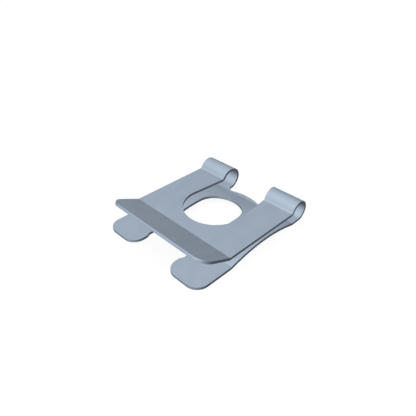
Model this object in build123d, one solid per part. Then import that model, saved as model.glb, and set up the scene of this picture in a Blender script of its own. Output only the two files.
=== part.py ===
from build123d import *
from math import acos, atan2, copysign, cos, degrees, hypot, radians, sin, sqrt, tan
import os

# Retaining clip for a grooved pin, folded from one strip of spring steel.
# The top leaf snaps over the end of the pin. The bottom leaf slides into the groove of the pin,
# and its arch presses the pin home. Two loops at the back join the leaves.
#
# Millimetres. The origin is the centre of the pin hole, on the upper face of the top leaf.
# X runs across the strip, +Y points back to the loops, and +Z points up along the pin.

# Strip
strip_width = 20.0              # both leaves
strip_thickness = 0.45          # gauge of the spring steel
fold_radius = 0.25              # inside radius of the sharp folds

# Top leaf
pin_diameter = 10.0
pin_clearance = 0.16            # of the hole, on the diameter
fold_to_pin = 7.38              # lip fold to the pin axis, on the upper face
lip_length = 5.5                # fold to the front edge of the lip, on the upper face
lip_angle = 25.0                # rise of the lip, in degrees
lip_corner_radius = 2.0

# Loops, and the legs that run round them
loop_to_pin = 8.53              # loop axis to the pin axis
loop_radius = 1.85              # outside
neck_radius = 0.5               # hollow where the top leaf turns up into the loop
leg_gap = 8.37                  # between the two legs, at the back
leg_taper_end = 1.19            # the legs stop tapering this far behind the loop axis
leg_angle = 7.9                 # lean of the inner edges below the loops, in degrees

# Bottom leaf
leaf_gap = 0.45                 # between the top leaf and the crown of the arch
arch_rise = 1.01                # crown above the feet
arch_to_loops = 1.55            # flat from the rear foot of the arch to the loop axis
rim_to_loops = 0.76             # rear rim, round the pin axis, to the loop axis
rim_corner_radius = 1.0         # hollow between the rim and each leg

# Slot for the groove of the pin
slot_width = 7.75
slot_end_offset = 0.6           # centre of the round end, behind the pin axis
nose_height = 0.295             # each nose narrows the mouth of the slot by this much
nose_reach = 2.69               # tip of the nose, behind the front edge of the tabs
nose_flank_length = 0.65        # from the tip of the nose to the full width of the slot
nose_tip_radius = 0.12
nose_foot_radius = 0.5          # hollow where the flank meets the side of the slot

# Tabs
tab_to_pin = 13.59              # front edge to the pin axis
tab_corner_radius = 2.0

# What follows from these sizes
half_thickness = strip_thickness / 2
fold_line_radius = fold_radius + half_thickness
hole_radius = (pin_diameter + pin_clearance) / 2
leaf_drop = 2 * strip_thickness + leaf_gap + arch_rise
leaf_parting = -strip_thickness - leaf_gap / 2
loop_level = loop_radius - leaf_drop
arch_span = 2 * (loop_to_pin - arch_to_loops)
arch_radius = arch_span ** 2 / (8 * arch_rise) + arch_rise / 2
rim_radius = loop_to_pin - rim_to_loops
half_leg_gap = leg_gap / 2
taper_end = loop_to_pin + leg_taper_end
behind_loops = loop_to_pin + 2 * loop_radius
half_slot = slot_width / 2
half_mouth = half_slot - nose_height


def straight(length):
    """A straight stretch of the centre line of the strip."""
    return (length, 0.0, 0.0)


def bend(radius, turn):
    """A bend of the centre line: its radius and its turn in degrees, positive to the left."""
    return (0.0, radius, turn)


def lip_stretches():
    """Lip and its fold, with the length that the fold takes from the top leaf."""
    tangent = tan(radians(lip_angle) / 2)
    setback = fold_line_radius * tangent
    fold_shift = half_thickness * tangent
    lip = straight(lip_length + fold_shift - setback)
    fold = bend(fold_line_radius, lip_angle)
    return [lip, fold], setback - fold_shift


def loop_stretches():
    """Neck and loop, with the length that the neck takes from the top leaf."""
    neck_height = neck_radius - loop_level
    neck_reach = sqrt((loop_radius + neck_radius) ** 2 - neck_height ** 2)
    neck_turn = 90 - degrees(atan2(neck_height, neck_reach))
    neck = bend(neck_radius + half_thickness, neck_turn)
    loop = bend(loop_radius - half_thickness, -180 - neck_turn)
    return [neck, loop], neck_reach


def arch_stretches():
    """Arch with a fold at each foot, and its reach in front of and behind the pin axis."""
    foot_radius = arch_radius + fold_line_radius
    foot_turn = degrees(acos(1 - arch_rise / foot_radius))
    foot = bend(fold_line_radius, -foot_turn)
    crown = bend(arch_radius, 2 * foot_turn)
    return [foot, crown, foot], foot_radius * sin(radians(foot_turn))


def strip_stretches():
    """The centre line of the strip, from the edge of the lip round the loop to the edge of the tabs."""
    lip, lip_setback = lip_stretches()
    loop, neck_reach = loop_stretches()
    arch, arch_reach = arch_stretches()
    top_leaf = straight(fold_to_pin + loop_to_pin - lip_setback - neck_reach)
    rear_flat = straight(loop_to_pin - arch_reach)
    tab = straight(tab_to_pin - arch_reach)
    return lip + [top_leaf] + loop + [rear_flat] + arch + [tab]


def lip_edge():
    """Upper edge at the front of the lip."""
    lean = radians(lip_angle)
    return Vector(-fold_to_pin - lip_length * cos(lean), lip_length * sin(lean))


def sheet_face(depth):
    """Outline of the face of the strip that lies this deep below its upper face."""
    direction = Vector(1, 0).rotate(Axis.Z, -lip_angle)
    point = lip_edge() - direction.rotate(Axis.Z, 90) * depth
    pieces = []
    for length, radius, turn in strip_stretches():
        if turn:
            face_radius = radius + copysign(1, turn) * (depth - half_thickness)
            piece = JernArc(point, direction, face_radius, turn)
        else:
            piece = Line(point, point + direction * length)
        pieces.append(piece)
        point = piece @ 1
        direction = piece % 1
    return pieces


def folded_strip():
    """The strip, folded to its final form, before any opening is cut."""
    upper = sheet_face(0)
    lower = sheet_face(strip_thickness)
    front_edge = Line(upper[0] @ 0, lower[0] @ 0)
    tab_edge = Line(upper[-1] @ 1, lower[-1] @ 1)
    section = make_face(upper + lower + [front_edge, tab_edge])
    return extrude(Plane.YZ * section, strip_width / 2, both=True)


def corner_radius(wanted, *edges):
    """The wanted radius of a corner, or less where the shortest edge beside it leaves no room."""
    usable_share = 0.95
    return min(wanted, usable_share * min(edges))


def mirrored_outline(right_side):
    """Closed outline from the points of its right-hand side, given from front to back."""
    left_side = [(-x, y) for x, y in reversed(right_side)]
    return Polygon(*right_side, *left_side, align=None)


def top_opening():
    """Pin hole, open to the back between the legs, whose edges leave it at a tangent."""
    to_taper_end = hypot(half_leg_gap, taper_end)
    angle = atan2(taper_end, half_leg_gap) - acos(hole_radius / to_taper_end)
    leg_edge = [
        (hole_radius * cos(angle), hole_radius * sin(angle)),
        (half_leg_gap, taper_end),
        (half_leg_gap, behind_loops),
    ]
    return Circle(hole_radius) + mirrored_outline(leg_edge)


def rear_opening():
    """Gap between the legs of the bottom leaf, behind its round rim."""
    inside_rim = rim_radius / 2
    leg_edge = [
        (half_leg_gap - (taper_end - inside_rim) * tan(radians(leg_angle)), inside_rim),
        (half_leg_gap, taper_end),
        (half_leg_gap, behind_loops),
    ]
    gap = mirrored_outline(leg_edge) - Circle(rim_radius)
    corners = gap.vertices().sort_by(Axis.Y)[:2]
    leg_length = taper_end - corners[0].Y
    return fillet(corners, corner_radius(rim_corner_radius, leg_length / 2))


def groove_slot():
    """Slot of the bottom leaf: open to the front, with a round end and a nose on each tab."""
    nose_tip = nose_reach - tab_to_pin
    nose_foot = nose_tip + nose_flank_length
    side = [
        (half_mouth, -2 * tab_to_pin),
        (half_mouth, nose_tip),
        (half_slot, nose_foot),
        (half_slot, slot_end_offset),
    ]
    slot = mirrored_outline(side)
    tips = slot.vertices().group_by(Axis.Y)[1]
    slot = fillet(tips, nose_tip_radius)
    feet = slot.vertices().group_by(Axis.Y)[-2]
    slot = fillet(feet, nose_foot_radius)
    return slot + Pos(0, slot_end_offset) * Circle(half_slot)


def above_parting(opening):
    """Cutter for the top leaf and the upper part of the loops."""
    return Pos(0, 0, leaf_parting) * extrude(opening, 2 * loop_radius + leaf_gap)


def below_parting(opening):
    """Cutter for the bottom leaf and the lower part of the loops."""
    return Pos(0, 0, leaf_parting) * extrude(opening, -2 * leaf_drop)


def round_lip(clip):
    """Rounds the two front corners of the lip."""
    lean = radians(lip_angle)
    through_lip = Axis((0, 0, 0), (0, sin(lean), cos(lean)))
    corners = clip.edges().filter_by(through_lip).sort_by(Axis.Y)[:2]
    return fillet(corners, corner_radius(lip_corner_radius, lip_length, strip_width / 2))


def round_tabs(clip):
    """Rounds both front corners of each tab."""
    tab_width = strip_width / 2 - half_mouth
    corners = clip.edges().filter_by(Axis.Z).sort_by(Axis.Y)[:4]
    return fillet(corners, corner_radius(tab_corner_radius, tab_width / 2, nose_reach))


def retaining_clip():
    """The whole clip as one solid."""
    clip = folded_strip()
    clip = clip - above_parting(top_opening())
    clip = clip - below_parting(rear_opening())
    clip = clip - below_parting(groove_slot())
    clip = round_lip(clip)
    clip = round_tabs(clip)
    clip.label = "retaining_clip"
    return clip


os.makedirs("parts", exist_ok=True)
export_step(retaining_clip(), "parts/retaining_clip.step")
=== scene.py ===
from math import acos, atan2, cos, hypot, radians, sin, sqrt, tan
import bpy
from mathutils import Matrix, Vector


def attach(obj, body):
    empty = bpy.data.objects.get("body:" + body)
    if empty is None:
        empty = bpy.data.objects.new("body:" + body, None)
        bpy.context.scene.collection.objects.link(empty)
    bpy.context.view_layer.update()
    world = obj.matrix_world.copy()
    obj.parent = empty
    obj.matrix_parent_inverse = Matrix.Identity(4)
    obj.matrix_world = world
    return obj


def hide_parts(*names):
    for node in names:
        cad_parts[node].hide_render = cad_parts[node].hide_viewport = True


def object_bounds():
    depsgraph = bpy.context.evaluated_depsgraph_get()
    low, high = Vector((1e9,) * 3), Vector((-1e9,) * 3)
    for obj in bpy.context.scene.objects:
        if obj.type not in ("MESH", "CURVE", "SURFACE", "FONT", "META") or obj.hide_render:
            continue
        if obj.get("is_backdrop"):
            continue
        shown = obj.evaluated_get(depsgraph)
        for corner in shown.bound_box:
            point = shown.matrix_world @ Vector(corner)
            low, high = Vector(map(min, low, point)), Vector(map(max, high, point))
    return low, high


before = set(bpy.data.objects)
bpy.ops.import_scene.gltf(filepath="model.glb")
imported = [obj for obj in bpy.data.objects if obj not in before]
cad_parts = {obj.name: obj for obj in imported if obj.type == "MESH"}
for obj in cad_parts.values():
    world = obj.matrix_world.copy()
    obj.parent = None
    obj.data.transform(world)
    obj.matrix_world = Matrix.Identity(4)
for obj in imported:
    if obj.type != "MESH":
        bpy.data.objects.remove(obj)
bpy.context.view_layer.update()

from types import SimpleNamespace

import bpy
from bpy.props import FloatProperty, FloatVectorProperty, PointerProperty
from mathutils import Matrix, Vector

bl_info = {
    "name": "Retaining Clip",
    "version": (1, 0, 0),
    "blender": (4, 5, 0),
    "location": "View3D > Sidebar > Clip",
    "description": "A folded spring steel clip for a grooved pin, its finish and a plain studio",
    "category": "Add Mesh",
}

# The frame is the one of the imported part, in metres. The origin is the centre of the pin hole, on the
# upper face of the top leaf. X runs across the strip, +Y points back to the loops, +Z up along the pin.

PIECE = "clip_strip"

# The clip is modelled on a bench where one unit is one millimetre, and brought to its own size at the end,
# because the smallest distances that bevels and merges tell apart are too coarse for it.
BENCH = 1000.0
WELD = 0.0001       # points of the folded strip that are this close are one
MERGE = 0.0005      # points of the cut sheet that are this close are one

# How many flats each bend and each round wall has
FOLD_FLATS = 6
NECK_FLATS = 18
LOOP_FLATS = 84
FOOT_FLATS = 4
ARCH_FLATS = 29
HOLE_FLATS = 110
RIM_FLATS = 24
RIM_CORNER_FLATS = 20
SLOT_END_FLATS = 60
NOSE_TIP_FLATS = 4
NOSE_FOOT_FLATS = 6
CORNER_FLATS = 16
EDGE_FLATS = 3

RIGHT_ANGLE = radians(90)
HALF_TURN = radians(180)
CUT_EDGE_ANGLE = radians(50)        # an edge that turns by more than this was cut
SMOOTH_ANGLE = radians(35)          # an edge that turns by less than this is shaded smooth
CUT_FACE_ANGLE = radians(15)        # a cut face leans from the rolled faces by more than this
ROUND_PROFILE = 0.5                 # a bevel with this profile is a circular arc
FLAT_WEIGHT = 80                    # how much the large flat faces pull the shading at their edges
FULL_STRAIN = 0.5                   # steel that is bent this hard bears all the marks of bending

# Grains of the steel, in grain pitches: across the strip, along it and through its gauge
ROLLING_LINES = Vector((1, 200, 200))
STREAKS = Vector((7, 300, 300))
CRYSTALS = Vector((0.6, 0.6, 0.6))
BEND_MARKS = Vector((14, 0.8, 8))
SHEAR_SCORES = Vector((1, 1, 12))
BREAK_WANDER = Vector((5, 5, 5))
BREAK_GRAIN = Vector((0.8, 0.8, 0.8))

# Scuffs that cross each other, each with its turn on the sheet
SCUFFS = (
    (radians(24), Vector((0.5, 24, 24))),
    (radians(-51), Vector((0.4, 17, 17))),
    (radians(78), Vector((0.45, 14, 14))),
)

# A noise runs from 0 to 1 and keeps near 0.5. These are ranges of it.
NOISE_SPREAD = (0.3, 0.7)
NOISE_MIDDLE = (0.35, 0.65)
NOISE_PEAKS = (0.68, 0.74)

# How much of the pale patches comes from each grain
CLOUD_SHARE = 0.6
STREAK_SHARE = 0.25
LINE_SHARE = 0.15

# How much each grain changes the roughness
STREAK_DULLING = 0.05
LINE_DULLING = 0.06
BEND_DULLING = 0.05
SCORE_DULLING = 0.04
BREAK_DULLING = 0.12

# How deep each grain is, as a share of the depth of the rolling lines
CRYSTAL_DEPTH = 0.4
BEND_MARK_DEPTH = 0.5
SCORE_DEPTH = 0.3

BREAK_TONE = (0.6, 1.0)             # how much of its own colour the break shows, from place to place

FLOOR_SIDES = 96
BACKDROP_SIDES = 64
CAMERA_REACH = (0.001, 10.0)        # nearest and farthest that the camera sees, in metres


def length(name, default, description, **more):
    return FloatProperty(name=name, description=description, default=default, unit="LENGTH",
                         subtype="DISTANCE", min=0.0, precision=6, **more)


def angle(name, default, description, **more):
    return FloatProperty(name=name, description=description, default=radians(default), unit="ROTATION",
                         subtype="ANGLE", **more)


def share(name, default, description, **more):
    return FloatProperty(name=name, description=description, default=default, subtype="FACTOR",
                         min=0.0, max=1.0, **more)


def colour(name, default, description):
    return FloatVectorProperty(name=name, description=description, default=default, subtype="COLOR",
                               size=3, min=0.0, max=1.0)


class ClipSizes(bpy.types.PropertyGroup):
    """Sizes of the folded strip and of its openings."""
    strip_width: length("Strip width", 0.020, "Width of both leaves")
    strip_thickness: length("Gauge", 0.00045, "Thickness of the spring steel")
    fold_radius: length("Fold radius", 0.00025, "Inside radius of the sharp folds")
    pin_hole_radius: length("Pin hole radius", 0.00508, "Radius of the hole in the top leaf")
    fold_to_pin: length("Fold to pin", 0.00738, "From the lip fold to the pin axis, on the upper face")
    lip_length: length("Lip length", 0.0055, "From the fold to the front edge of the lip")
    lip_angle: angle("Lip angle", 25.0, "Rise of the lip")
    lip_corner_radius: length("Lip corners", 0.002, "Radius of the front corners of the lip")
    loop_to_pin: length("Loop to pin", 0.00853, "From the loop axis to the pin axis")
    loop_radius: length("Loop radius", 0.00185, "Outside radius of the loops")
    neck_radius: length("Neck radius", 0.0005, "Hollow where the top leaf turns up into the loop")
    leg_gap: length("Leg gap", 0.00837, "Between the two legs, at the back")
    leg_taper_end: length("Taper end", 0.00119, "How far behind the loop axis the legs stop tapering")
    leg_angle: angle("Leg angle", 7.9, "Lean of the inner edges of the lower legs")
    leaf_gap: length("Leaf gap", 0.00045, "Between the top leaf and the crown of the arch")
    arch_rise: length("Arch rise", 0.00101, "Crown of the arch above its feet")
    arch_to_loops: length("Arch to loops", 0.00155, "From the rear foot of the arch to the loop axis")
    rim_to_loops: length("Rim to loops", 0.00076, "From the rear rim to the loop axis")
    rim_corner_radius: length("Rim corners", 0.001, "Hollow between the rim and each leg")
    slot_width: length("Slot width", 0.00775, "Slot for the groove of the pin")
    slot_end_offset: length("Slot end", 0.0006, "Centre of the round end, behind the pin axis")
    nose_height: length("Nose height", 0.000295, "How much each nose narrows the mouth of the slot")
    nose_reach: length("Nose reach", 0.00269, "Tip of the nose, behind the front of the tabs")
    nose_flank: length("Nose flank", 0.00065, "From the tip of the nose to the full width of the slot")
    nose_tip_radius: length("Nose tip", 0.00012, "Radius of the tip of the nose")
    nose_foot_radius: length("Nose foot", 0.0005, "Hollow where the nose meets the side of the slot")
    tab_to_pin: length("Tab to pin", 0.01359, "From the front edge of the tabs to the pin axis")
    tab_corner_radius: length("Tab corners", 0.002, "Radius of the front corners of the tabs")
    edge_round: length("Edge round", 0.000015, "Rounding that tumbling leaves on every cut edge")


class ClipFinish(bpy.types.PropertyGroup):
    """Colours and grain of the steel."""
    steel_colour: colour("Steel", (0.530, 0.632, 0.765), "Zinc coat of the rolled faces")
    pale_colour: colour("Pale patches", (0.571, 0.672, 0.799), "Where the coat lies a little thicker")
    edge_colour: colour("Cut edge", (0.605, 0.715, 0.875), "Zinc coat of the sheared edges")
    break_colour: colour("Broken edge", (0.52, 0.62, 0.765), "Where the sheared edges broke")
    face_roughness: share("Face roughness", 0.42, "Roughness of the rolled faces")
    edge_roughness: share("Edge roughness", 0.40, "Roughness of the sheared edges")
    grain_pitch: length("Grain pitch", 0.00006, "Spacing of the rolling lines across the strip")
    grain_depth: length("Grain depth", 0.000005, "Depth of the rolling lines")
    scuff_depth: length("Scuff depth", 0.0000009, "Depth of the fine scuffs that tumbling leaves")
    cloud_width: length("Cloud width", 0.0022, "Width of the pale patches, across the strip")
    cloud_length: length("Cloud length", 0.0035, "Length of the pale patches, along the strip")
    break_blend: length("Break blend", 0.00005, "Depth over which the cut turns from smooth to broken")
    break_wander: length("Break wander", 0.00004, "How far the break wanders from the middle of the gauge")


class StudioLook(bpy.types.PropertyGroup):
    """Camera, light and floor."""
    camera_place: FloatVectorProperty(name="Camera place", description="Where the camera stands",
                                      default=(0.037215, -0.038793, 0.037481), subtype="TRANSLATION",
                                      unit="LENGTH", precision=6)
    camera_azimuth: angle("Camera azimuth", 45.0, "How far the camera stands to the right of the front")
    camera_elevation: angle("Camera elevation", 35.2644, "How far the camera looks down")
    lens: FloatProperty(name="Lens", description="Focal length", default=36.0, unit="CAMERA")
    sensor: FloatProperty(name="Sensor", description="Width of the sensor", default=36.0, unit="CAMERA")
    floor_radius: length("Floor radius", 1.2, "Radius of the round floor and of the backdrop")
    floor_gap: length("Floor gap", 0.00001, "Between the clip and the floor")
    floor_colour: colour("Floor", (0.15, 0.15, 0.15), "Colour of the floor and of the backdrop")
    floor_glow: FloatProperty(name="Floor glow", description="Light that the floor gives the camera",
                              default=0.91)
    light_level: FloatProperty(name="Light level", description="Light from all round", default=0.634)
    light_fall: FloatProperty(name="Light fall", description="How much more comes from the brightest side",
                              default=0.585)
    light_direction: FloatVectorProperty(name="Light from", description="Where the light is strongest",
                                         default=(-0.234, -0.507, 0.830), subtype="DIRECTION")
    light_least: FloatProperty(name="Least light", description="Light from the darkest side", default=0.05)
    side_shade: FloatProperty(name="Side shade", description="How much less comes from both sides",
                              default=0.26)
    shade_lean: FloatProperty(name="Shade lean", description="How much more of the shade lies on the left",
                              default=0.15)
    side_direction: FloatVectorProperty(name="Shaded sides", description="Where the shaded sides are",
                                        default=(0.974, -0.019, 0.224), subtype="DIRECTION")
    lamp_distance: length("Softbox distance", 0.3, "From the clip to the softbox")
    lamp_size: length("Softbox size", 0.2, "Width of the round softbox")
    lamp_power: FloatProperty(name="Softbox power", description="Light of the softbox", default=0.01,
                              unit="POWER")


# Bench work


def bench_sizes(group):
    """The sizes as the bench has them: lengths in millimetres, angles in radians."""
    sizes = SimpleNamespace()
    for name, prop in group.bl_rna.properties.items():
        if prop.type == "FLOAT":
            scale = BENCH if prop.unit == "LENGTH" else 1.0
            setattr(sizes, name, getattr(group, name) * scale)
    sizes.half_thickness = sizes.strip_thickness / 2
    sizes.fold_line_radius = sizes.fold_radius + sizes.half_thickness
    sizes.leaf_drop = 2 * sizes.strip_thickness + sizes.leaf_gap + sizes.arch_rise
    sizes.leaf_parting = -sizes.strip_thickness - sizes.leaf_gap / 2
    sizes.loop_level = sizes.loop_radius - sizes.leaf_drop
    arch_span = 2 * (sizes.loop_to_pin - sizes.arch_to_loops)
    sizes.arch_radius = arch_span ** 2 / (8 * sizes.arch_rise) + sizes.arch_rise / 2
    sizes.rim_radius = sizes.loop_to_pin - sizes.rim_to_loops
    sizes.half_leg_gap = sizes.leg_gap / 2
    sizes.taper_end = sizes.loop_to_pin + sizes.leg_taper_end
    sizes.behind_loops = sizes.loop_to_pin + 2 * sizes.loop_radius
    sizes.half_slot = sizes.slot_width / 2
    sizes.half_mouth = sizes.half_slot - sizes.nose_height
    return sizes


def clear_selection():
    """Leaves edit mode and deselects everything."""
    if bpy.context.mode != "OBJECT":
        bpy.ops.object.mode_set(mode="OBJECT")
    bpy.ops.object.select_all(action="DESELECT")


def make_active(piece):
    """Selects this piece alone."""
    clear_selection()
    piece.select_set(True)
    bpy.context.view_layer.objects.active = piece


class BenchLine:
    """A line laid on one plane of the bench from straight stretches and tangent bends.
    It ends as the mesh of the object that it began, with the last point selected."""

    def __init__(self, name, start, heading, first_axis, second_axis):
        self.first = Vector(first_axis)
        self.second = Vector(second_axis)
        self.axis = self.first.cross(self.second)
        self.heading = heading
        self.point = self.first * start[0] + self.second * start[1]
        clear_selection()
        bpy.ops.mesh.primitive_plane_add(size=1, location=self.point)
        self.piece = bpy.context.active_object
        self.piece.name = name
        bpy.ops.object.mode_set(mode="EDIT")
        bpy.ops.mesh.select_mode(type="VERT")
        bpy.ops.mesh.select_all(action="SELECT")
        bpy.ops.mesh.merge(type="CENTER")

    def direction(self, turned=0.0):
        """Where the line heads, or this much to the left of that."""
        heading = self.heading + turned
        return self.first * cos(heading) + self.second * sin(heading)

    def straight(self, run):
        """Goes straight on for this length."""
        step = self.direction() * run
        bpy.ops.mesh.extrude_region_move(TRANSFORM_OT_translate={"value": step})
        self.point = self.point + step

    def bend(self, radius, turn, flats):
        """Goes on round an arc of this radius, to the left if the turn is positive."""
        side = 1.0 if turn > 0 else -1.0
        to_centre = self.direction(side * RIGHT_ANGLE) * radius
        centre = self.point + to_centre
        # Spin counts its angle the other way round.
        bpy.ops.mesh.spin(steps=flats, angle=-turn, center=centre, axis=self.axis)
        self.heading += turn
        self.point = centre - self.direction(side * RIGHT_ANGLE) * radius

    def corner(self, turn):
        """Turns on the spot."""
        self.heading += turn


def neck_reach_and_turn(s):
    """Reach of the neck along the top leaf, and the turn of the neck."""
    neck_height = s.neck_radius - s.loop_level
    neck_reach = sqrt((s.loop_radius + s.neck_radius) ** 2 - neck_height ** 2)
    return neck_reach, RIGHT_ANGLE - atan2(neck_height, neck_reach)


def strip_stretches(s):
    """Centre line of the strip from the lip to the tabs, as (length, radius, turn, flats)."""
    tangent = tan(s.lip_angle / 2)
    setback = s.fold_line_radius * tangent
    fold_shift = s.half_thickness * tangent
    neck_reach, neck_turn = neck_reach_and_turn(s)
    foot_radius = s.arch_radius + s.fold_line_radius
    foot_turn = acos(1 - s.arch_rise / foot_radius)
    arch_reach = foot_radius * sin(foot_turn)
    return [
        (s.lip_length + fold_shift - setback, 0, 0, 1),
        (0, s.fold_line_radius, s.lip_angle, FOLD_FLATS),
        (s.fold_to_pin + s.loop_to_pin - setback + fold_shift - neck_reach, 0, 0, 1),
        (0, s.neck_radius + s.half_thickness, neck_turn, NECK_FLATS),
        (0, s.loop_radius - s.half_thickness, -HALF_TURN - neck_turn, LOOP_FLATS),
        (s.loop_to_pin - arch_reach, 0, 0, 1),
        (0, s.fold_line_radius, -foot_turn, FOOT_FLATS),
        (0, s.arch_radius, 2 * foot_turn, ARCH_FLATS),
        (0, s.fold_line_radius, -foot_turn, FOOT_FLATS),
        (s.tab_to_pin - arch_reach, 0, 0, 1),
    ]


def lip_middle(s):
    """Front end of the centre line, as (y, z)."""
    lean = s.lip_angle
    edge = Vector((-s.fold_to_pin - s.lip_length * cos(lean), s.lip_length * sin(lean)))
    return edge - Vector((sin(lean), cos(lean))) * s.half_thickness


def folded_strip(s):
    """The strip, folded and given its gauge, before any opening is cut."""
    line = BenchLine(PIECE, lip_middle(s), -s.lip_angle, (0, 1, 0), (0, 0, 1))
    for run, radius, turn, flats in strip_stretches(s):
        if turn:
            line.bend(radius, turn, flats)
        else:
            line.straight(run)
    bpy.ops.mesh.select_all(action="SELECT")
    bpy.ops.transform.translate(value=(-s.strip_width / 2, 0, 0))
    bpy.ops.mesh.extrude_region_move(TRANSFORM_OT_translate={"value": (s.strip_width, 0, 0)})
    bpy.ops.mesh.select_all(action="SELECT")
    bpy.ops.mesh.remove_doubles(threshold=WELD)
    bpy.ops.mesh.normals_make_consistent(inside=False)
    bpy.ops.object.mode_set(mode="OBJECT")
    strip = line.piece
    bpy.ops.object.transform_apply(location=True, rotation=True, scale=True)
    gauge = strip.modifiers.new("gauge", "SOLIDIFY")
    gauge.thickness = s.strip_thickness
    gauge.offset = 0.0
    gauge.use_even_offset = True
    bpy.ops.object.modifier_apply(modifier=gauge.name)
    return strip


def close_cutter(line, level, depth):
    """Makes the line a prism that starts at this level and is this deep, downwards if negative."""
    bpy.ops.mesh.select_all(action="SELECT")
    bpy.ops.transform.translate(value=(0, 0, level))
    bpy.ops.mesh.edge_face_add()
    bpy.ops.mesh.extrude_region_move(TRANSFORM_OT_translate={"value": (0, 0, depth)})
    bpy.ops.mesh.select_all(action="SELECT")
    bpy.ops.mesh.normals_make_consistent(inside=False)
    bpy.ops.object.mode_set(mode="OBJECT")
    return line.piece


def top_cutter(s):
    """Pin hole, open to the back between the legs, whose edges leave it at a tangent."""
    to_taper_end = hypot(s.half_leg_gap, s.taper_end)
    lean = atan2(s.taper_end, s.half_leg_gap) - acos(s.pin_hole_radius / to_taper_end)
    edge_run = sqrt(to_taper_end ** 2 - s.pin_hole_radius ** 2)
    line = BenchLine("top_cutter", (s.half_leg_gap, s.behind_loops), -RIGHT_ANGLE, (1, 0, 0), (0, 1, 0))
    line.straight(s.behind_loops - s.taper_end)
    line.corner(lean)
    line.straight(edge_run)
    line.bend(s.pin_hole_radius, -HALF_TURN - 2 * lean, HOLE_FLATS)
    line.straight(edge_run)
    line.corner(lean)
    line.straight(s.behind_loops - s.taper_end)
    return close_cutter(line, s.leaf_parting, 2 * s.loop_radius + s.leaf_gap)


def rear_cutter(s):
    """Gap between the legs of the bottom leaf, behind its round rim."""
    lean = s.leg_angle
    hollow = s.rim_corner_radius
    # The hollow's centre is this far from the leg's edge and from the rim. Along the edge, it is
    # found from the end of the taper, where the edge starts.
    start = Vector((s.half_leg_gap - hollow * cos(lean), s.taper_end + hollow * sin(lean)))
    back = Vector((-sin(lean), -cos(lean)))
    reach = s.rim_radius + hollow
    along = -start.dot(back)
    edge_run = along - sqrt(along ** 2 - start.length_squared + reach ** 2)
    centre = start + back * edge_run
    rim_end = atan2(centre.y, centre.x)
    hollow_turn = rim_end - HALF_TURN + lean
    rim_turn = HALF_TURN - 2 * rim_end
    line = BenchLine("rear_cutter", (s.half_leg_gap, s.behind_loops), -RIGHT_ANGLE, (1, 0, 0), (0, 1, 0))
    line.straight(s.behind_loops - s.taper_end)
    line.corner(-lean)
    line.straight(edge_run)
    line.bend(hollow, hollow_turn, RIM_CORNER_FLATS)
    line.bend(s.rim_radius, rim_turn, RIM_FLATS)
    line.bend(hollow, hollow_turn, RIM_CORNER_FLATS)
    line.straight(edge_run)
    line.corner(-lean)
    line.straight(s.behind_loops - s.taper_end)
    # This cutter and the top one overlap between the leaves, so that they leave no web in the loops.
    lap = s.leaf_gap / 4
    return close_cutter(line, s.leaf_parting + lap, -2 * s.leaf_drop)


def slot_cutter(s):
    """Slot of the bottom leaf: open to the front, with a round end and a nose on each tab."""
    lean = atan2(s.nose_height, s.nose_flank)
    flank = hypot(s.nose_height, s.nose_flank)
    tip_setback = s.nose_tip_radius * tan(lean / 2)
    foot_setback = s.nose_foot_radius * tan(lean / 2)
    nose_tip = s.nose_reach - s.tab_to_pin
    mouth = s.tab_to_pin + s.nose_reach
    side = s.slot_end_offset - nose_tip - s.nose_flank - foot_setback
    line = BenchLine("slot_cutter", (s.half_mouth, nose_tip - mouth), RIGHT_ANGLE, (1, 0, 0), (0, 1, 0))
    line.straight(mouth - tip_setback)
    line.bend(s.nose_tip_radius, -lean, NOSE_TIP_FLATS)
    line.straight(flank - tip_setback - foot_setback)
    line.bend(s.nose_foot_radius, lean, NOSE_FOOT_FLATS)
    line.straight(side)
    line.bend(s.half_slot, HALF_TURN, SLOT_END_FLATS)
    line.straight(side)
    line.bend(s.nose_foot_radius, lean, NOSE_FOOT_FLATS)
    line.straight(flank - tip_setback - foot_setback)
    line.bend(s.nose_tip_radius, -lean, NOSE_TIP_FLATS)
    line.straight(mouth - tip_setback)
    return close_cutter(line, s.leaf_parting, -2 * s.leaf_drop)


def cut(strip, cutter):
    """Takes the cutter away from the strip."""
    make_active(strip)
    opening = strip.modifiers.new("opening", "BOOLEAN")
    opening.operation = "DIFFERENCE"
    opening.solver = "EXACT"
    opening.object = cutter
    bpy.ops.object.modifier_apply(modifier=opening.name)
    bpy.data.objects.remove(cutter)


def pick_edges(strip, wanted):
    """Selects the edges for which wanted(one end, other end) holds."""
    make_active(strip)
    bpy.ops.object.mode_set(mode="EDIT")
    bpy.ops.mesh.select_mode(type="EDGE")
    bpy.ops.mesh.select_all(action="DESELECT")
    bpy.ops.object.mode_set(mode="OBJECT")
    points = [vertex.co for vertex in strip.data.vertices]
    for edge in strip.data.edges:
        edge.select = wanted(*(points[v] for v in edge.vertices))
    bpy.ops.object.mode_set(mode="EDIT")


def round_corners(strip, s):
    """Rounds the two corners of the lip and the two of each tab, which stand across the gauge."""

    def lip_corner(a, b):
        halfway = -s.fold_to_pin - s.lip_length / 2
        return max(a.y, b.y) < halfway and min(a.z, b.z) > 0 and abs(a.x - b.x) < MERGE

    def tab_corner(a, b):
        return max(a.y, b.y) < -s.tab_to_pin + MERGE and abs(a.x - b.x) < MERGE

    for corner, radius in ((lip_corner, s.lip_corner_radius), (tab_corner, s.tab_corner_radius)):
        pick_edges(strip, corner)
        bpy.ops.mesh.bevel(offset_type="OFFSET", offset=radius, segments=CORNER_FLATS, profile=ROUND_PROFILE,
                           affect="EDGES", clamp_overlap=False)
        bpy.ops.object.mode_set(mode="OBJECT")


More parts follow.
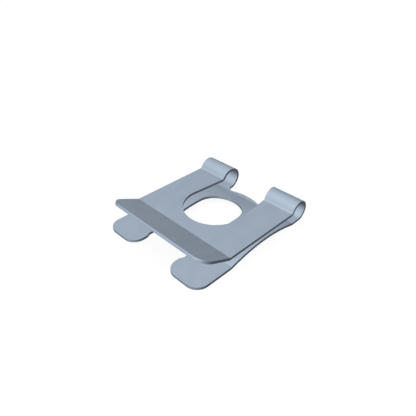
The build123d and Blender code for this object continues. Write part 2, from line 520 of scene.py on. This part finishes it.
def merge_seams(strip):
    """Closes the seams that the cuts leave."""
    make_active(strip)
    bpy.ops.object.mode_set(mode="EDIT")
    bpy.ops.mesh.select_all(action="SELECT")
    bpy.ops.mesh.remove_doubles(threshold=MERGE)
    bpy.ops.mesh.dissolve_degenerate(threshold=MERGE)
    bpy.ops.object.mode_set(mode="OBJECT")


def gather_line_ends(strip, s):
    """Brings the lines of the bends to the nearest corner of a cut wall, where they end close to one,
    so that the rounding of the edge has room between them."""
    wall_pitch = HALF_TURN * s.half_slot / SLOT_END_FLATS
    loop_pitch = (HALF_TURN + neck_reach_and_turn(s)[1]) * s.loop_radius / LOOP_FLATS

    def beside_round_end(a, b):
        behind = min(a.y, b.y) > s.slot_end_offset + MERGE
        within = max(a.y, b.y) < s.half_slot + s.slot_end_offset
        below = max(a.z, b.z) < s.leaf_parting
        short = (a - b).length < wall_pitch / 2
        return behind and within and below and short and abs(a.x - b.x) > MERGE

    def beside_taper_end(a, b):
        at_corner = any(abs(end.y - s.taper_end) < MERGE and abs(abs(end.x) - s.half_leg_gap) < MERGE
                        for end in (a, b))
        return at_corner and (a - b).length < loop_pitch / 2

    for close in (beside_round_end, beside_taper_end):
        pick_edges(strip, close)
        bpy.ops.mesh.merge(type="COLLAPSE")
        bpy.ops.object.mode_set(mode="OBJECT")


def tumble_edges(strip, s):
    """Rounds every cut edge a little, as tumbling does, and keeps the flat faces flat."""
    make_active(strip)
    rounding = strip.modifiers.new("rounding", "BEVEL")
    rounding.width = s.edge_round
    rounding.segments = EDGE_FLATS
    rounding.limit_method = "ANGLE"
    rounding.angle_limit = CUT_EDGE_ANGLE
    rounding.use_clamp_overlap = False
    bpy.ops.object.modifier_apply(modifier=rounding.name)
    bpy.ops.object.shade_smooth_by_angle(angle=SMOOTH_ANGLE)
    weighting = strip.modifiers.new("weighting", "WEIGHTED_NORMAL")
    weighting.keep_sharp = True
    weighting.weight = FLAT_WEIGHT
    bpy.ops.object.modifier_apply(modifier=weighting.name)


def check_closed(strip):
    """Stops the script if a cut or a rounding left the sheet open."""
    make_active(strip)
    bpy.ops.object.mode_set(mode="EDIT")
    bpy.ops.mesh.select_mode(type="EDGE")
    bpy.ops.mesh.select_all(action="DESELECT")
    bpy.ops.mesh.select_non_manifold()
    bpy.ops.object.mode_set(mode="OBJECT")
    if any(edge.select for edge in strip.data.edges):
        raise RuntimeError("The strip isn't closed: try a smaller rounding of its edges")


class SheetRun:
    """One straight or bent stretch of the strip, seen along X, to tell where on the sheet a point lies."""

    def __init__(self, start, heading, before, run, radius, turn):
        self.start = start
        self.heading = heading
        self.before = before
        self.radius = radius
        self.turn = turn
        self.side = 1.0 if turn > 0 else -1.0
        self.run = abs(turn) * radius if turn else run
        self.centre = start + self.left() * self.side * radius

    def along(self):
        """The direction in which the stretch starts."""
        return Vector((cos(self.heading), sin(self.heading)))

    def left(self):
        """The direction across the sheet where the stretch starts."""
        return Vector((-sin(self.heading), cos(self.heading)))

    def end(self):
        """The point where the stretch ends."""
        if not self.turn:
            return self.start + self.along() * self.run
        arm = self.start - self.centre
        arm.rotate(Matrix.Rotation(self.turn, 2))
        return self.centre + arm

    def place(self, point):
        """How far along the stretch, how deep in the sheet, and the direction across the sheet."""
        if not self.turn:
            away = point - self.start
            return away.dot(self.along()), away.dot(self.left()), self.left()
        arm = self.start - self.centre
        away = point - self.centre
        swept = atan2(arm.x * away.y - arm.y * away.x, arm.dot(away)) * self.side
        # The loop turns by more than half a turn, so its last stretch comes out as a turn the other way.
        if swept < -HALF_TURN / 3:
            swept += 2 * HALF_TURN
        depth = (self.radius - away.length) * self.side
        return swept * self.radius, depth, away.normalized() * -self.side

    def misses(self, point, half_thickness):
        """How far outside the stretch the point lies."""
        run, depth, _ = self.place(point)
        return max(-run, run - self.run, 0) + max(abs(depth) - half_thickness, 0)


def sheet_runs(s):
    """The stretches of the strip from the lip to the tabs."""
    runs = []
    start = lip_middle(s)
    heading = -s.lip_angle
    before = 0.0
    for run, radius, turn, _ in strip_stretches(s):
        runs.append(SheetRun(start, heading, before, run, radius, turn))
        start = runs[-1].end()
        heading += turn
        before += runs[-1].run
    return runs


def mark_sheet(strip, s):
    """Gives every point its place on the flat blank: across the strip, along it, and deep in its gauge.
    A second mark tells how hard the steel was bent there."""
    runs = sheet_runs(s)
    blank = []
    worked = []
    for vertex in strip.data.vertices:
        point = Vector((vertex.co.y, vertex.co.z))
        run = min(runs, key=lambda r: r.misses(point, s.half_thickness))
        along, depth, _ = run.place(point)
        blank.extend(size / BENCH for size in (vertex.co.x, run.before + along, depth))
        inside = min(along, run.run - along) / s.half_thickness
        strain = s.strip_thickness / run.radius if run.turn else 0.0
        worked.append(min(max(inside, 0.0), 1.0) * min(strain / FULL_STRAIN, 1.0))
    strip.data.attributes.new("blank", "FLOAT_VECTOR", "POINT").data.foreach_set("vector", blank)
    strip.data.attributes.new("worked", "FLOAT", "POINT").data.foreach_set("value", worked)


def pick_cut_faces(strip, s):
    """Selects the faces that the shears cut, with their rounded edges."""
    make_active(strip)
    bpy.ops.object.mode_set(mode="EDIT")
    bpy.ops.mesh.select_mode(type="FACE")
    bpy.ops.mesh.select_all(action="DESELECT")
    bpy.ops.object.mode_set(mode="OBJECT")
    runs = sheet_runs(s)
    for face in strip.data.polygons:
        point = Vector((face.center.y, face.center.z))
        run = min(runs, key=lambda r: r.misses(point, s.half_thickness))
        across = run.place(point)[2]
        face.select = abs(face.normal.y * across.x + face.normal.z * across.y) < cos(CUT_FACE_ANGLE)
    bpy.ops.object.mode_set(mode="EDIT")


def paint(strip, s, finish):
    """Gives the rolled faces and the cut edges their finish."""
    for material in (rolled_steel(finish), sheared_steel(finish)):
        strip.data.materials.append(material)
    pick_cut_faces(strip, s)
    strip.active_material_index = 1
    bpy.ops.object.material_slot_assign()
    bpy.ops.object.mode_set(mode="OBJECT")


def bring_to_size(strip):
    """Brings the piece from the bench to the frame."""
    make_active(strip)
    strip.scale = (1 / BENCH,) * 3
    bpy.ops.object.transform_apply(location=True, rotation=True, scale=True)


# Finish


def feed(tree, socket, value):
    """Links an output to the socket, or gives the socket a value of its own."""
    if isinstance(value, bpy.types.NodeSocket):
        tree.links.new(value, socket)
    else:
        socket.default_value = value


class Coat:
    """A material whose nodes are added one by one, in columns of the node editor."""

    column_width = 160
    row_height = 260
    rows = 4

    def __init__(self, name):
        self.material = bpy.data.materials.new(name)
        self.material.use_nodes = True
        self.tree = self.material.node_tree
        self.shader = self.tree.nodes["Principled BSDF"]
        self.column = 0

    def node(self, kind, settings=(), **inputs):
        """Adds a node. An input goes by its name, or by its number after an underscore."""
        node = self.tree.nodes.new(kind)
        node.location = (self.column_width * self.column, -self.row_height * (self.column % self.rows))
        self.column += 1
        for name, value in dict(settings).items():
            setattr(node, name, value)
        for name, value in inputs.items():
            number = name[1:]
            socket = node.inputs[int(number) if number.isdigit() else name.replace("_", " ")]
            feed(self.tree, socket, value)
        return node

    def mark(self, name, output="Vector"):
        """A mark that the piece carries."""
        return self.node("ShaderNodeAttribute", {"attribute_name": name}).outputs[output]

    def grain(self, place, pitches, turn=0.0, detail=2.0, roughness=0.5):
        """Noise with these pitches, in metres, across the strip, along it and through its gauge."""
        laid = self.node("ShaderNodeMapping", {"vector_type": "TEXTURE"}, Vector=place, Scale=pitches,
                         Rotation=(0, 0, turn))
        noise = self.node("ShaderNodeTexNoise", {"noise_dimensions": "3D"}, Vector=laid.outputs[0],
                          Scale=1.0, Detail=detail, Roughness=roughness)
        return noise.outputs[0]

    def between(self, value, low, high, start, end, smooth=False):
        """Brings what the value does from start to end to a run from low to high."""
        kind = "SMOOTHSTEP" if smooth else "LINEAR"
        ranged = self.node("ShaderNodeMapRange", {"interpolation_type": kind}, Value=value, From_Min=start,
                           From_Max=end, To_Min=low, To_Max=high)
        return ranged.outputs[0]

    def sums(self, operation, first, second, third=0.0):
        """One step of reckoning. The third value is what MULTIPLY_ADD adds."""
        settings = {"operation": operation}
        return self.node("ShaderNodeMath", settings, _0=first, _1=second, _2=third).outputs[0]

    def blend(self, part, first, second):
        """Mix of two colours, which have the sockets 6 and 7 of that node, and 2 for what comes out."""
        mix = self.node("ShaderNodeMix", {"data_type": "RGBA"}, _0=part, _6=first, _7=second)
        return mix.outputs[2]

    def relief(self, height, depth, under=None):
        """Bump from a height of 0 to 1, which is this deep in metres and may lie on another bump."""
        bump = self.node("ShaderNodeBump", Height=height, Distance=depth, Strength=1.0)
        if under is not None:
            self.tree.links.new(under, bump.inputs["Normal"])
        return bump.outputs[0]

    def join(self, **sockets):
        """Feeds the shader, and moves it and the output to the right of the other nodes."""
        for name, value in sockets.items():
            feed(self.tree, self.shader.inputs[name.replace("_", " ")], value)
        self.shader.location.x = self.column_width * self.column
        self.tree.nodes["Material Output"].location.x = self.column_width * (self.column + 2)
        return self.material


def scuffs(coat, place, pitch):
    """Sparse fine scuffs that cross each other."""
    marks = 0.0
    for turn, size in SCUFFS:
        noise = coat.grain(place, pitch * size, turn, detail=0.0)
        marks = coat.sums("MAXIMUM", marks, coat.between(noise, 0.0, 1.0, *NOISE_PEAKS))
    return marks


def rolled_steel(finish):
    """Zinc coated strip: rolling lines along it, pale clouds in the coat, fine scuffs, and fine marks
    across its bends."""
    coat = Coat("rolled_steel")
    place = coat.mark("blank")
    worked = coat.mark("worked", "Fac")
    pitch = finish.grain_pitch
    lines = coat.grain(place, pitch * ROLLING_LINES, detail=4.0, roughness=0.7)
    streaks = coat.grain(place, pitch * STREAKS)
    clouds = coat.grain(place, (finish.cloud_width, finish.cloud_length, finish.cloud_width), detail=3.0)
    crystals = coat.grain(place, pitch * CRYSTALS, detail=1.0)
    bend_marks = coat.grain(place, pitch * BEND_MARKS)
    rubbed = scuffs(coat, place, pitch)

    patches = coat.sums("MULTIPLY", clouds, CLOUD_SHARE)
    patches = coat.sums("MULTIPLY_ADD", streaks, STREAK_SHARE, patches)
    patches = coat.sums("MULTIPLY_ADD", lines, LINE_SHARE, patches)
    pale = coat.between(patches, 0.0, 1.0, *NOISE_MIDDLE, smooth=True)
    tint = coat.blend(pale, (*finish.steel_colour, 1), (*finish.pale_colour, 1))

    satin = coat.between(streaks, -STREAK_DULLING, STREAK_DULLING, *NOISE_SPREAD)
    satin = coat.sums("ADD", satin, finish.face_roughness)
    satin = coat.sums("MULTIPLY_ADD", lines, LINE_DULLING, satin)
    satin = coat.sums("MULTIPLY_ADD", worked, BEND_DULLING, satin)

    grained = coat.sums("MULTIPLY_ADD", crystals, CRYSTAL_DEPTH, lines)
    crossed = coat.sums("MULTIPLY", bend_marks, worked)
    sunk = coat.sums("SUBTRACT", 1.0, rubbed)
    rolled = coat.relief(grained, finish.grain_depth)
    bent = coat.relief(crossed, finish.grain_depth * BEND_MARK_DEPTH, rolled)
    scored = coat.relief(sunk, finish.scuff_depth, bent)
    return coat.join(Base_Color=tint, Metallic=1.0, Roughness=satin, Normal=scored)


def sheared_steel(finish):
    """Cut edge: smooth where the punch went in, broken and a little darker towards the other face."""
    coat = Coat("sheared_steel")
    place = coat.mark("blank")
    depth = coat.node("ShaderNodeSeparateXYZ", Vector=place).outputs["Z"]
    pitch = finish.grain_pitch
    scores = coat.grain(place, pitch * SHEAR_SCORES)
    wander = coat.grain(place, pitch * BREAK_WANDER, detail=3.0)
    breaks = coat.grain(place, pitch * BREAK_GRAIN, detail=3.0, roughness=0.65)

    level = coat.between(wander, -finish.break_wander, finish.break_wander, *NOISE_SPREAD)
    level = coat.sums("ADD", depth, level)
    broken = coat.between(level, 1.0, 0.0, -finish.break_blend, 0.0, smooth=True)
    tone = coat.sums("MULTIPLY", broken, coat.between(breaks, *BREAK_TONE, *NOISE_MIDDLE))
    tint = coat.blend(tone, (*finish.edge_colour, 1), (*finish.break_colour, 1))

    smoothest = finish.edge_roughness - SCORE_DULLING
    dullest = finish.edge_roughness + SCORE_DULLING
    rough = coat.between(scores, smoothest, dullest, *NOISE_SPREAD)
    rough = coat.sums("MULTIPLY_ADD", broken, BREAK_DULLING, rough)

    rugged = coat.sums("MULTIPLY", breaks, broken)
    scored = coat.relief(scores, finish.grain_depth * SCORE_DEPTH)
    torn = coat.relief(rugged, finish.grain_depth, scored)
    return coat.join(Base_Color=tint, Metallic=1.0, Roughness=rough, Normal=torn)


class CLIP_OT_strip(bpy.types.Operator):
    """Fold the strip, cut its openings and give it its finish"""
    bl_idname = "clip.strip"
    bl_label = "Clip Strip"

    def execute(self, context):
        s = bench_sizes(context.scene.clip_sizes)
        strip = folded_strip(s)
        for cutter in (top_cutter(s), rear_cutter(s), slot_cutter(s)):
            cut(strip, cutter)
        merge_seams(strip)
        gather_line_ends(strip, s)
        round_corners(strip, s)
        tumble_edges(strip, s)
        check_closed(strip)
        mark_sheet(strip, s)
        paint(strip, s, context.scene.clip_finish)
        bring_to_size(strip)
        strip.visible_glossy = False
        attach(strip, "root")
        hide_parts("retaining_clip")
        return {"FINISHED"}


# Stage


def studio_light(look):
    """Soft light from all round, strongest above the front left and weaker from both sides."""
    world = bpy.data.worlds.new("studio_light")
    bpy.context.scene.world = world
    world.cycles.sampling_method = "NONE"
    world.use_nodes = True
    nodes = world.node_tree.nodes
    links = world.node_tree.links
    nodes.clear()
    place = nodes.new("ShaderNodeTexCoord")

    def facing(direction):
        """How much a ray points this way, from -1 to 1."""
        dot = nodes.new("ShaderNodeVectorMath")
        dot.operation = "DOT_PRODUCT"
        dot.inputs[1].default_value = Vector(direction).normalized()
        links.new(place.outputs["Generated"], dot.inputs[0])
        return dot.outputs["Value"]

    def reckon(operation, *values):
        """One step of reckoning with numbers and outputs."""
        node = nodes.new("ShaderNodeMath")
        node.operation = operation
        for socket, value in zip(node.inputs, values):
            feed(world.node_tree, socket, value)
        return node.outputs["Value"]

    open_sky = reckon("MULTIPLY_ADD", facing(look.light_direction), look.light_fall, look.light_level)
    sideways = reckon("SUBTRACT", facing(look.side_direction), look.shade_lean)
    shade = reckon("MULTIPLY", sideways, sideways)
    light = reckon("MULTIPLY_ADD", shade, -look.side_shade, open_sky)
    sky = nodes.new("ShaderNodeBackground")
    out = nodes.new("ShaderNodeOutputWorld")
    links.new(reckon("MAXIMUM", light, look.light_least), sky.inputs["Strength"])
    links.new(sky.outputs["Background"], out.inputs["Surface"])


def white_paint(name, look, glow):
    """Matt paint that glows, so that it looks white and still shows a faint shadow."""
    paint = bpy.data.materials.new(name)
    paint.use_nodes = True
    shader = paint.node_tree.nodes["Principled BSDF"]
    shader.inputs["Base Color"].default_value = (*look.floor_colour, 1)
    shader.inputs["Roughness"].default_value = 1.0
    shader.inputs["Specular IOR Level"].default_value = 0.0
    shader.inputs["Emission Color"].default_value = (1, 1, 1, 1)
    shader.inputs["Emission Strength"].default_value = glow
    return paint


def clear_from_below(paint):
    """Lets the camera see the clip through the floor from below."""
    nodes = paint.node_tree.nodes
    links = paint.node_tree.links
    side = nodes.new("ShaderNodeNewGeometry")
    clear = nodes.new("ShaderNodeBsdfTransparent")
    mix = nodes.new("ShaderNodeMixShader")
    links.new(side.outputs["Backfacing"], mix.inputs[0])
    links.new(nodes["Principled BSDF"].outputs["BSDF"], mix.inputs[1])
    links.new(clear.outputs["BSDF"], mix.inputs[2])
    links.new(mix.outputs["Shader"], nodes["Material Output"].inputs["Surface"])
    return paint


def camera_only(stand):
    """The camera sees it, and it neither lights the clip nor shades it."""
    stand.visible_diffuse = False
    stand.visible_glossy = False
    stand.visible_transmission = False
    stand.visible_shadow = False
    stand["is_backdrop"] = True


class CLIP_OT_stage(bpy.types.Operator):
    """Set the floor, the backdrop, the light and the camera"""
    bl_idname = "clip.stage"
    bl_label = "Studio"

    def execute(self, context):
        look = context.scene.studio_look
        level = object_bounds()[0][2] - look.floor_gap
        clear_selection()
        bpy.ops.mesh.primitive_circle_add(vertices=FLOOR_SIDES, radius=look.floor_radius, fill_type="NGON",
                                          location=(0, 0, level))
        floor = context.active_object
        floor.name = "floor"
        floor.data.materials.append(clear_from_below(white_paint("floor_paint", look, look.floor_glow)))
        camera_only(floor)
        bpy.ops.mesh.primitive_uv_sphere_add(segments=BACKDROP_SIDES, ring_count=BACKDROP_SIDES // 2,
                                             radius=look.floor_radius, location=(0, 0, level))
        backdrop = context.active_object
        backdrop.name = "backdrop"
        bpy.ops.object.shade_smooth()
        backdrop.data.materials.append(white_paint("backdrop_paint", look, 1.0))
        camera_only(backdrop)
        studio_light(look)
        towards_light = Vector(look.light_direction).normalized()
        bpy.ops.object.light_add(type="AREA", location=towards_light * look.lamp_distance)
        lamp = context.active_object
        lamp.name = "softbox"
        lamp.data.shape = "DISK"
        lamp.data.size = look.lamp_size
        lamp.data.energy = look.lamp_power
        lamp.rotation_euler = lamp.location.to_track_quat("Z", "Y").to_euler()
        bpy.ops.object.camera_add(location=look.camera_place,
                                  rotation=(RIGHT_ANGLE - look.camera_elevation, 0, look.camera_azimuth))
        camera = context.active_object
        camera.name = "photo_camera"
        camera.data.sensor_width = look.sensor
        camera.data.lens = look.lens
        camera.data.clip_start, camera.data.clip_end = CAMERA_REACH
        context.scene.camera = camera
        context.scene.view_settings.view_transform = "Standard"
        return {"FINISHED"}


class CLIP_PT_panel(bpy.types.Panel):
    """Buttons that make the clip and its studio, over the sizes and colours they are made with"""
    bl_idname = "CLIP_PT_panel"
    bl_label = "Retaining Clip"
    bl_space_type = "VIEW_3D"
    bl_region_type = "UI"
    bl_category = "Clip"

    def draw(self, context):
        scene = context.scene
        strip_groups = (scene.clip_sizes, scene.clip_finish)
        stage_groups = (scene.studio_look,)
        for operator, groups in (("clip.strip", strip_groups), ("clip.stage", stage_groups)):
            box = self.layout.box()
            box.operator(operator)
            for group in groups:
                column = box.column(align=True)
                for name in group.__annotations__:
                    column.prop(group, name)


CLASSES = (ClipSizes, ClipFinish, StudioLook, CLIP_OT_strip, CLIP_OT_stage, CLIP_PT_panel)


def register():
    for cls in CLASSES:
        bpy.utils.register_class(cls)
    bpy.types.Scene.clip_sizes = PointerProperty(type=ClipSizes)
    bpy.types.Scene.clip_finish = PointerProperty(type=ClipFinish)
    bpy.types.Scene.studio_look = PointerProperty(type=StudioLook)


def unregister():
    del bpy.types.Scene.studio_look
    del bpy.types.Scene.clip_finish
    del bpy.types.Scene.clip_sizes
    for cls in reversed(CLASSES):
        bpy.utils.unregister_class(cls)


def main():
    register()
    bpy.ops.clip.strip()
    bpy.ops.clip.stage()


if __name__ == "__main__":
    main()
